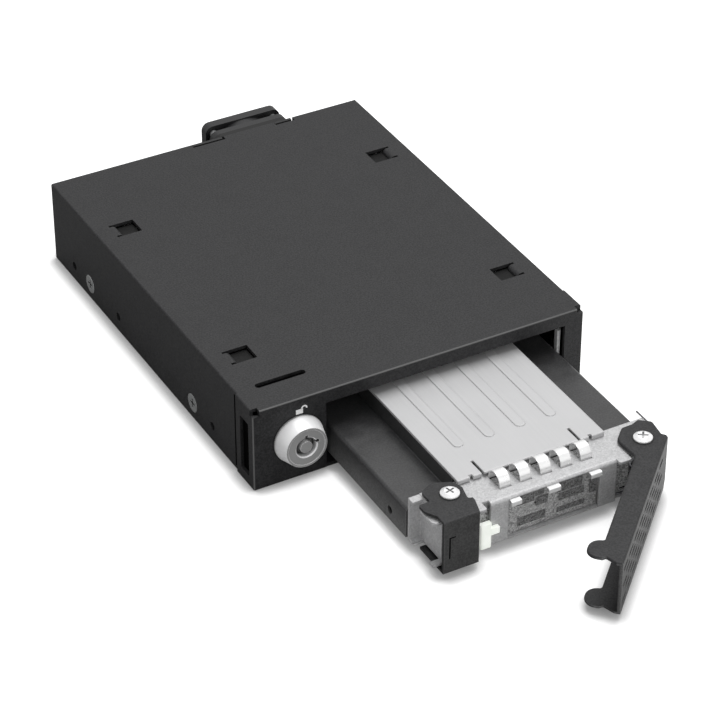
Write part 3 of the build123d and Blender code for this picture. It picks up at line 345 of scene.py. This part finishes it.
coatGroup = makeCoatGroup()
rolledGroup = makeRolledGroup()
spangleGroup = makeSpangleGroup()
edgeGroup = makeEdgeGroup()
recessGroup = makeRecessGroup()
print("shader groups made")


# Finishes

def newFinish(name, metallic=0.0, specular=0.5, coat=0.0):
    finish = bpy.data.materials.new(name)
    finish.use_nodes = True
    shader = finish.node_tree.nodes["Principled BSDF"]
    shader.inputs["Metallic"].default_value = metallic
    shader.inputs["Specular IOR Level"].default_value = specular
    shader.inputs["Coat Weight"].default_value = coat
    return finish, finish.node_tree, shader


def useGroup(tree, group, **values):
    placed = tree.nodes.new("ShaderNodeGroup")
    placed.node_tree = group
    for label, value in values.items():
        placed.inputs[label.replace("_", " ")].default_value = value
    return placed


def addBump(tree, height, depth, shader, strength, normal=None):
    bump = tree.nodes.new("ShaderNodeBump")
    bump.inputs["Strength"].default_value = strength
    bump.inputs["Distance"].default_value = depth
    tree.links.new(height, bump.inputs["Height"])
    if normal is not None:
        tree.links.new(normal, bump.inputs["Normal"])
    tree.links.new(bump.outputs[0], shader.inputs["Normal"])


# Spans of the masks, and the values that all coats share
softSpan = (0.3, 0.7)
facedSpan = (0.86, 0.97)
slantSpan = (0.62, 0.70)  # for the lever, whose face stands at an angle when it is open
coatLook = {
    "grainSpan": (0.38, 0.62),
    "edgeWidth": 0.5 * mm,
    "litSpan": (0.15, 0.55),
    "bendFrom": (-0.12, -0.50),
    "bendTo": (-0.99, -0.86),
    "hollow": {"Reach": 1.3 * mm, "Gain": 2.4},
    "hollowColour": grey(0.002),
    "speckSpan": (0.30, 0.70),
    "speckLeast": 0.4,
    "groove": {"Reach": 0.8 * mm, "Gain": 1.3},
    "grooveShade": grey(0.008),
    "peelDepth": 0.04 * mm,
    "peelStrength": 0.55,
}


def foldsAhead(tree, upTo):
    # Painted highlight: only the folds round the front face catch the light, and the rims of its
    # openings don't
    surface = tree.nodes.new("ShaderNodeNewGeometry")
    way = axisOf(tree, surface.outputs["True Normal"], "Y")
    bent = maths(tree, "MULTIPLY", spread(tree, way, coatLook["bendFrom"]),
                 spread(tree, way, coatLook["bendTo"]))
    ahead = maths(tree, "LESS_THAN", objectAxis(tree, "Y"), upTo)
    return maths(tree, "MULTIPLY", bent, ahead)


def powderCoat(name, dark, pale, edge, roughness=(0.46, 0.58), specular=0.30, gain=1.6,
               floorSheen=None, upTo=None, paintedFront=None):
    finish, tree, shader = newFinish(name, specular=specular)
    coat = useGroup(tree, coatGroup)
    mask = spread(tree, coat.outputs["Grain"], coatLook["grainSpan"])
    base = mixColour(tree, mask, dark, pale)
    fold = useGroup(tree, edgeGroup, Width=coatLook["edgeWidth"], Gain=gain)
    # Painted highlight on the edges that look to the front, or only on the folds round the front
    # face
    if upTo is None:
        paintedShine = maths(tree, "MULTIPLY", fold.outputs["Edge"],
                      spread(tree, fold.outputs["Front"], coatLook["litSpan"]))
    else:
        paintedShine = foldsAhead(tree, upTo)
    if paintedFront:
        # Painted light and shade: the outer face of a handle, which looks to the front, is painted
        # paler, and painted shade darkens the walls of its slots
        darker, paler, span = paintedFront
        shade = mixColour(tree, mask, darker, paler)
        base = mixColour(tree, spread(tree, fold.outputs["Front"], span), base, shade)
        hollow = useGroup(tree, recessGroup, **coatLook["hollow"])
        base = mixColour(tree, hollow.outputs["Recess"], base, coatLook["hollowColour"])
    highlighted = mixColour(tree, paintedShine, base, edge)
    if floorSheen:
        # Painted reflection of the white floor: pale specks that grow towards the lower edge
        heights, colour = floorSheen
        level = spread(tree, objectAxis(tree, "Z"), heights, 1, 0)
        specks = spread(tree, coat.outputs["Peel"], coatLook["speckSpan"], coatLook["speckLeast"])
        highlighted = mixColour(tree, maths(tree, "MULTIPLY", level, specks), highlighted, colour)
    # Painted shade: near-black where close walls would shade the surface
    groove = useGroup(tree, recessGroup, **coatLook["groove"])
    mixColour(tree, groove.outputs["Recess"], highlighted, coatLook["grooveShade"],
              shader.inputs["Base Color"])
    spread(tree, coat.outputs["Mottle"], softSpan, *roughness, shader.inputs["Roughness"])
    addBump(tree, coat.outputs["Peel"], coatLook["peelDepth"], shader, coatLook["peelStrength"])
    return finish


sheetLook = {"edgeGain": 1.5, "streakDepth": 0.008 * mm, "streakStrength": 0.4}


def rolledSheet(name, dark, pale, roughness, metallic=1.0, across=1400, edge=None,
                soft=0.3 * mm, recessShade=None, reach=0.6 * mm, paintedFront=None):
    finish, tree, shader = newFinish(name, metallic=metallic)
    sheet = useGroup(tree, rolledGroup, Across=across)
    blend = tree.nodes.new("ShaderNodeMix")
    blend.inputs["Factor"].default_value = groupLook["streakShare"]
    tree.links.new(sheet.outputs["Streak"], blend.inputs["A"])
    tree.links.new(sheet.outputs["Cloud"], blend.inputs["B"])
    base = mixColour(tree, spread(tree, blend.outputs["Result"], softSpan), dark, pale)
    fold = useGroup(tree, edgeGroup, Width=soft, Gain=sheetLook["edgeGain"])
    if paintedFront:
        # Painted shade: turned faces that look to the front are painted duller
        base = mixColour(tree, spread(tree, fold.outputs["Front"], facedSpan), base, paintedFront)
    # Painted highlight: edges take the edge colour, or the pale tone
    base = mixColour(tree, fold.outputs["Edge"], base, edge or pale)
    # Painted shade: recesses take the given dark colour
    if recessShade:
        groove = useGroup(tree, recessGroup, Reach=reach)
        base = mixColour(tree, groove.outputs["Recess"], base, recessShade)
    tree.links.new(base, shader.inputs["Base Color"])
    spread(tree, sheet.outputs["Streak"], softSpan, *roughness, shader.inputs["Roughness"])
    addBump(tree, sheet.outputs["Streak"], sheetLook["streakDepth"], shader,
            sheetLook["streakStrength"], fold.outputs["Normal"])
    return finish


zincLook = {
    "toneSpan": (0.25, 0.75),
    "edgeWidth": 0.4 * mm,
    "edgeGain": 1.2,
    "grainDepth": 0.02 * mm,
    "grainStrength": 0.5,
}


def galvanised(name, dark, pale, roughness, crystals, metallic, grain=0.45, deepTone=None):
    finish, tree, shader = newFinish(name, metallic=metallic)
    spangle = useGroup(tree, spangleGroup, Crystal_Scale=crystals, Grain_Share=grain)
    mask = spread(tree, spangle.outputs["Tone"], zincLook["toneSpan"])
    base = mixColour(tree, mask, dark, pale)
    fold = useGroup(tree, edgeGroup, Width=zincLook["edgeWidth"], Gain=zincLook["edgeGain"])
    # Painted highlight: edges take the pale tone
    base = mixColour(tree, fold.outputs["Edge"], base, pale)
    if deepTone:
        # The stamped fields behind the given depth are darker
        depth, low, high = deepTone
        behind = maths(tree, "GREATER_THAN", objectAxis(tree, "Y"), depth)
        base = mixColour(tree, behind, base, mixColour(tree, mask, low, high))
    tree.links.new(base, shader.inputs["Base Color"])
    spread(tree, spangle.outputs["Tone"], softSpan, *roughness, shader.inputs["Roughness"])
    addBump(tree, spangle.outputs["Grain"], zincLook["grainDepth"], shader,
            zincLook["grainStrength"], fold.outputs["Normal"])
    return finish


mouldedLook = {
    "peelPerMottle": 6,
    "peelDepth": 0.02 * mm,
    "peelStrength": 0.3,
    "throughRadius": (2 * mm, 2 * mm, 2 * mm),
}


def moulded(name, dark, pale, roughness=(0.42, 0.55), scale=1500, coat=0.0, through=None,
            paintedShine=None, specular=0.5):
    finish, tree, shader = newFinish(name, specular=specular, coat=coat)
    grain = useGroup(tree, coatGroup, Peel_Scale=scale,
                     Mottle_Scale=scale / mouldedLook["peelPerMottle"])
    mask = spread(tree, grain.outputs["Mottle"], softSpan)
    mixColour(tree, mask, dark, pale, shader.inputs["Base Color"])
    spread(tree, grain.outputs["Mottle"], softSpan, *roughness, shader.inputs["Roughness"])
    addBump(tree, grain.outputs["Peel"], mouldedLook["peelDepth"], shader,
            mouldedLook["peelStrength"])
    if through:
        shader.inputs["Subsurface Weight"].default_value = through
        shader.inputs["Subsurface Radius"].default_value = mouldedLook["throughRadius"]
    # Painted glow: the part glows a little, though it is no lamp, as if light came through it
    if paintedShine:
        mixColour(tree, mask, dark, pale, shader.inputs["Emission Color"])
        shader.inputs["Emission Strength"].default_value = paintedShine
    return finish


# What each finish is made of: its maker, then the maker's values
stampedDepth = 0.1 * mm
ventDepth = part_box("vent_plate")[0].y + stampedDepth
foldsEnd = frontY + 0.9 * mm
handleBase = {"dark": (0.012, 0.012, 0.013), "pale": (0.033, 0.033, 0.034),
              "roughness": (0.44, 0.54), "gain": 2.6}
stampedZinc = {"roughness": (0.45, 0.6), "crystals": 2800, "metallic": 0.2, "grain": 0.6}
recipes = {
    "blackCoat": (powderCoat, {
        "dark": (0.010, 0.010, 0.011), "pale": (0.030, 0.030, 0.031), "edge": grey(0.12),
        "upTo": foldsEnd}),
    # Painted shade: a darker copy of the black coat, for the floors of the lanced openings
    "shadeCoat": (powderCoat, {
        "dark": grey(0.005), "pale": grey(0.012), "edge": grey(0.02), "specular": 0.15}),
    "deckCoat": (powderCoat, {
        "dark": (0.024, 0.024, 0.025), "pale": (0.046, 0.046, 0.047), "edge": grey(0.30),
        "roughness": (0.36, 0.46), "specular": 0.55, "gain": 2.0,
        "floorSheen": ((5.5 * mm, 12 * mm), grey(0.15))}),
    "handleCoat": (powderCoat, {
        **handleBase, "edge": grey(0.12), "paintedFront": (grey(0.036), grey(0.066), facedSpan)}),
    "leverCoat": (powderCoat, {
        **handleBase, "edge": grey(0.30), "paintedFront": (grey(0.075), grey(0.115), slantSpan)}),
    "lidSheet": (rolledSheet, {
        "dark": (0.52, 0.52, 0.525), "pale": (0.56, 0.56, 0.565), "roughness": (0.46, 0.54),
        "metallic": 0.25, "edge": grey(0.95), "soft": 0.6 * mm}),
    "frameSheet": (galvanised, {
        "dark": (0.43, 0.43, 0.435), "pale": (0.60, 0.60, 0.605), "roughness": (0.40, 0.52),
        "crystals": 2400, "metallic": 0.25, "grain": 0.6}),
    # Painted light: a brighter copy of the galvanised sheet for the rails and the pan, seen in the
    # shade of the cage's mouth
    "litRailSheet": (galvanised, {
        "dark": (0.74, 0.75, 0.75), "pale": grey(0.95), "roughness": (0.38, 0.50), "crystals": 1200,
        "metallic": 0.15}),
    "ventSheet": (galvanised, {
        **stampedZinc, "dark": grey(0.18), "pale": grey(0.66),
        "deepTone": (ventDepth, grey(0.05), grey(0.32))}),
    "ventField": (galvanised, {**stampedZinc, "dark": grey(0.04), "pale": grey(0.30)}),
    # Painted light: a paler copy of the stamped zinc for sheets that sit in shade
    "litCheekSheet": (galvanised, {**stampedZinc, "dark": grey(0.14), "pale": grey(0.80)}),
    "nickel": (rolledSheet, {
        "dark": grey(0.93), "pale": grey(0.98), "roughness": (0.20, 0.28), "metallic": 0.35,
        "across": 700}),
    "screwZinc": (rolledSheet, {
        "dark": (0.92, 0.92, 0.93), "pale": grey(0.99), "roughness": (0.26, 0.36), "metallic": 0.2,
        "across": 600, "recessShade": grey(0.34)}),
    "sideZinc": (rolledSheet, {
        "dark": (0.36, 0.37, 0.37), "pale": (0.52, 0.53, 0.53), "roughness": (0.26, 0.36),
        "metallic": 0.6, "across": 600, "recessShade": grey(0.01), "reach": 1.1 * mm}),
    "springWire": (rolledSheet, {
        "dark": (0.16, 0.16, 0.17), "pale": (0.26, 0.26, 0.27), "roughness": (0.3, 0.4)}),
    "satinLock": (rolledSheet, {
        "dark": (0.95, 0.95, 0.96), "pale": grey(0.99), "roughness": (0.34, 0.46), "metallic": 0.15,
        "across": 1800, "edge": grey(0.98), "recessShade": grey(0.02), "reach": 1.4 * mm,
        "paintedFront": grey(0.34)}),
    "board": (moulded, {
        "dark": (0.010, 0.060, 0.025), "pale": (0.020, 0.100, 0.040), "roughness": (0.25, 0.35),
        "scale": 900, "coat": 0.3}),
    "blackPlastic": (moulded, {"dark": (0.018, 0.018, 0.019), "pale": (0.026, 0.026, 0.027)}),
    "fanPlastic": (moulded, {"dark": (0.006, 0.006, 0.007), "pale": (0.013, 0.013, 0.014)}),
    "foam": (moulded, {
        "dark": grey(0.010), "pale": grey(0.022), "roughness": (0.8, 0.95), "scale": 3000}),
    # The light pipe has a painted glow, as if light came through it
    "lightPipe": (moulded, {
        "dark": (0.74, 0.78, 0.71), "pale": (0.97, 0.99, 0.95), "roughness": (0.25, 0.35),
        "scale": 900, "through": 0.4, "paintedShine": 0.38}),
    "thermalPad": (moulded, {
        "dark": (0.30, 0.34, 0.38), "pale": (0.38, 0.42, 0.46), "roughness": (0.7, 0.8),
        "scale": 1200}),
    # Painted shade: near-black for gaps, slots, holes and grooves that lie in shade
    "paintedShadeGap": (moulded, {
        "dark": grey(0.001), "pale": grey(0.003), "roughness": (0.9, 1.0), "specular": 0.02}),
    "resin": (moulded, {
        "dark": grey(0.014), "pale": grey(0.022), "roughness": (0.4, 0.5), "scale": 2500}),
    "whiteInk": (moulded, {
        "dark": grey(0.85), "pale": grey(0.92), "roughness": (0.5, 0.6), "scale": 900}),
}
finishes = {name: make(name, **values) for name, (make, values) in recipes.items()}

# Which nodes wear each finish
wears = {
    "blackCoat": ["cage_cover", "cage_base"],
    "deckCoat": ["tray_cover"],
    "handleCoat": ["release_latch"],
    "leverCoat": ["ejector_lever"],
    "lidSheet": ["drive_lid"],
    "frameSheet": ["front_frame", "lock_cam"],
    "litRailSheet": ["left_guide_rail", "right_guide_rail", "tray_pan"],
    "ventSheet": ["vent_plate"],
    "nickel": ["contact_fingers"],
    "sideZinc": ["side_screws", "fan_screws"],
    "screwZinc": ["pivot_screws", "pivot_washers", "frame_rivets", "backplane_screws",
                  "board_screws", "board_standoffs", "drive_post", "lock_cam_screw", "lock_nut"],
    "springWire": ["lever_spring", "latch_spring", "earth_wire"],
    "satinLock": ["lock_housing", "lock_plug", "data_connector"],
    "board": ["backplane_board", "adaptor_board", "drive_board"],
    "blackPlastic": ["backplane_socket", "power_connector", "drive_socket"],
    "fanPlastic": ["fan_frame", "fan_rotor"],
    "foam": ["fan_gasket"],
    "lightPipe": ["light_pipe"],
    "thermalPad": ["thermal_pad"],
    "resin": ["drive_chips"],
}
for finishName, names in wears.items():
    for name in names:
        for slot in nodes[name].material_slots:
            slot.material = finishes[finishName]
print("finishes given to", sum(len(names) for names in wears.values()), "nodes")


# Pieces that only the scene has

def addPiece(name, mesh, body):
    piece = bpy.data.objects.new(name, mesh)
    bpy.context.collection.objects.link(piece)
    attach(piece, body)


def addPlate(shape, outline, y, thick):
    # A thin upright plate from an (x, z) outline, its front at y
    front = [shape.verts.new((x, y, z)) for x, z in outline]
    back = [shape.verts.new((x, y + thick, z)) for x, z in outline]
    shape.faces.new(front)
    shape.faces.new(back[::-1])
    for i in range(len(outline)):
        j = (i + 1) % len(outline)
        shape.faces.new((front[j], front[i], back[i], back[j]))


def makeRowNodes():
    group = bpy.data.node_groups.new("rowOfBlocks", "GeometryNodeTree")
    kinds = {"Count": "NodeSocketInt", "Start": "NodeSocketVector", "Pitch": "NodeSocketVector",
             "Size": "NodeSocketVector", "Finish": "NodeSocketMaterial"}
    for label, kind in kinds.items():
        group.interface.new_socket(label, in_out="INPUT", socket_type=kind)
    group.interface.new_socket("Geometry", in_out="OUTPUT", socket_type="NodeSocketGeometry")
    start, end = group.nodes.new("NodeGroupInput"), group.nodes.new("NodeGroupOutput")
    line = group.nodes.new("GeometryNodeMeshLine")
    block = group.nodes.new("GeometryNodeMeshCube")
    placed = group.nodes.new("GeometryNodeInstanceOnPoints")
    real = group.nodes.new("GeometryNodeRealizeInstances")
    painted = group.nodes.new("GeometryNodeSetMaterial")
    links = group.links
    links.new(start.outputs["Count"], line.inputs["Count"])
    links.new(start.outputs["Start"], line.inputs["Start Location"])
    links.new(start.outputs["Pitch"], line.inputs["Offset"])
    links.new(start.outputs["Size"], block.inputs["Size"])
    links.new(line.outputs["Mesh"], placed.inputs["Points"])
    links.new(block.outputs["Mesh"], placed.inputs["Instance"])
    links.new(placed.outputs["Instances"], real.inputs["Geometry"])
    links.new(real.outputs["Geometry"], painted.inputs["Geometry"])
    links.new(start.outputs["Finish"], painted.inputs["Material"])
    links.new(painted.outputs["Geometry"], end.inputs["Geometry"])
    return group


rowNodes = makeRowNodes()

# Corners that the rows are measured from: the fronts of the cage, the tray and the latch
trayLip = 1.5 * mm  # the tray's rows are measured from this far before its frame
corners = {
    "cage": (0, frontY, 0),
    "tray": (0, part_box("front_frame")[0].y - trayLip, 0),
    "latch": (0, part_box("release_latch")[0].y, 0),
}


def addRow(name, values, finish, body):
    # A row of equal blocks, in millimetres from the body's own corner, or one block
    origin = corners[body]
    rig = bpy.data.objects.new(name + "Nodes", bpy.data.meshes.new(name + "Nodes"))
    bpy.context.collection.objects.link(rig)
    modifier = rig.modifiers.new("row", "NODES")
    modifier.node_group = rowNodes
    given = {
        "Count": values.get("count", 1),
        "Start": [place + value * mm for place, value in zip(origin, values["start"])],
        "Pitch": [value * mm for value in values.get("pitch", (0, 0, 0))],
        "Size": [value * mm for value in values["size"]],
        "Finish": finish,
    }
    for item in rowNodes.interface.items_tree:
        if item.in_out == "INPUT":
            modifier[item.identifier] = given[item.name]
    bpy.context.view_layer.update()
    seen = rig.evaluated_get(bpy.context.evaluated_depsgraph_get())
    mesh = bpy.data.meshes.new_from_object(seen)
    rig.modifiers.clear()
    bpy.data.objects.remove(rig)
    mesh.name = name
    addPiece(name, mesh, body)


# Sheet that shows under the five fingers, in a paler zinc that paints light on it
fingerFloor = {"count": 5, "start": (-3.72, 10.2, 16.62), "pitch": (6.15, 0, 0),
               "size": (3.3, 4.7, 0.2)}

# Inner sheet that shows on both sides of the front wall, in a paler zinc that paints light on it,
# with the slit in it drawn as painted shade
cheeks = {"count": 2, "start": (-10.9, 5.3, 10.4), "pitch": (41.4, 0, 0), "size": (4.6, 0.3, 11.2)}
cheekSlit = {"start": (31.4, 5.13, 5.6), "size": (2.4, 0.06, 0.4)}

# Darker stamped fields on the inner plate, proud by a coat of paint
ventFields = {
    "band": {"start": (4.75, 4.19, 14.7), "size": (2.7, 0.04, 2.3)},
    "underBand": {"start": (5.5, 4.19, 11.6), "size": (3.6, 0.04, 2.6)},
    "besideHook": {"start": (14.6, 4.19, 10.6), "size": (7.8, 0.04, 2.4)},
    "rightEnd": {"start": (21.2, 4.19, 10.6), "size": (2.3, 0.04, 4.4)},
}

# Painted shade: a dark seam behind each front flange, the dark insides of its slot, of the hole in
# the tray's skirt and of the slot in the top, and, in a shaded copy of the coat, the floors of the
# lanced openings
seams = {"count": 2, "start": (-50.81, 11.15, 12.7), "pitch": (101.62, 0, 0),
         "size": (0.02, 0.6, 23.4)}
skirtHole = {"start": (-27.14, 24.8, 6.8), "size": (0.06, 2.5, 2.5)}
topSlotLining = {"start": (-37.5, 11.2, 24.15), "size": (15.2, 3.6, 0.1)}
slotLinings = {"count": 2, "start": (-50.05, 5.1, 11.6), "pitch": (100.1, 0, 0),
               "size": (0.1, 5.6, 18.0)}
lancePair = {"count": 2, "pitch": (82.2, 0, 0), "size": (5.6, 6.4, 0.2)}
lanceFloors = {
    "front": {**lancePair, "start": (-41.1, 25.5, 23.9)},
    "rear": {**lancePair, "start": (-41.1, 97.35, 23.9)},
}

# The bent line pressed into the latch's face, drawn as near-black strips of painted shade
latchMark = {
    "upright": {"start": (-24.28, -0.01, 9.85), "size": (0.36, 0.02, 6.8)},
    "top": {"start": (-23.5, -0.01, 13.08), "size": (1.7, 0.02, 0.36)},
}

# The open padlock printed above the lock
lockSign = {
    "left": -38.35, "right": -36.25, "low": 20.4, "high": 21.9,
    "shackleCentre": (-35.87, 21.85),
    "shackleRadius": 0.74,
    "shackleWidth": 0.46,
    "shackleTurn": (190, -10),
    "shackleSteps": 14,
    "proud": 0.02,
}


def makeLockSign():
    sign = lockSign
    thick = sign["proud"] * mm
    left, right, low, high = (sign[side] for side in ("left", "right", "low", "high"))
    body = [(left, low), (right, low), (right, high), (left, high)]
    cx, cz = sign["shackleCentre"]
    first, last = (math.radians(angle) for angle in sign["shackleTurn"])
    steps = sign["shackleSteps"]
    turns = [first + (last - first) * i / steps for i in range(steps + 1)]
    outer = sign["shackleRadius"] + sign["shackleWidth"] / 2
    inner = sign["shackleRadius"] - sign["shackleWidth"] / 2
    shackle = [(cx + outer * math.cos(a), cz + outer * math.sin(a)) for a in turns]
    shackle += [(cx + inner * math.cos(a), cz + inner * math.sin(a)) for a in reversed(turns)]
    shape = bmesh.new()
    for outline in (body, shackle):
        addPlate(shape, [(x * mm, z * mm) for x, z in outline], frontY - thick, thick)
    bmesh.ops.recalc_face_normals(shape, faces=shape.faces)
    mesh = bpy.data.meshes.new("lock_sign")
    shape.to_mesh(mesh)
    shape.free()
    mesh.materials.append(finishes["whiteInk"])
    addPiece("lock_sign", mesh, "cage")


makeCamera()
makeLamps()
makeWorld()
makeFloor()
makeLockSign()
print("camera, lamps, floor and sign made")

# name: values, finish, body, slot
rows = {
    "finger_floor": (fingerFloor, "litCheekSheet", "tray", "galvanised_sheet"),
    "cheek_sheets": (cheeks, "litCheekSheet", "tray", "galvanised_sheet"),
    "cheek_slit": (cheekSlit, "paintedShadeGap", "tray", "galvanised_sheet"),
    **{"vent_" + name: (field, "ventField", "tray", "galvanised_sheet")
       for name, field in ventFields.items()},
    "flange_seams": (seams, "paintedShadeGap", "cage", "black_powder_coat"),
    "slot_linings": (slotLinings, "paintedShadeGap", "cage", "black_powder_coat"),
    "skirt_hole": (skirtHole, "paintedShadeGap", "tray", "black_powder_coat"),
    "top_slot_lining": (topSlotLining, "paintedShadeGap", "cage", "black_powder_coat"),
    **{"lance_" + name: (field, "shadeCoat", "cage", "black_powder_coat")
       for name, field in lanceFloors.items()},
    **{"mark_" + name: (field, "paintedShadeGap", "latch", "black_handle")
       for name, field in latchMark.items()},
}
for name, (values, finishName, body, slotName) in rows.items():
    addRow(name, values, finishes[finishName], body)
print("rows made:", len(rows))

scene = bpy.context.scene
scene.view_settings.view_transform = "Standard"

print("scene ready")
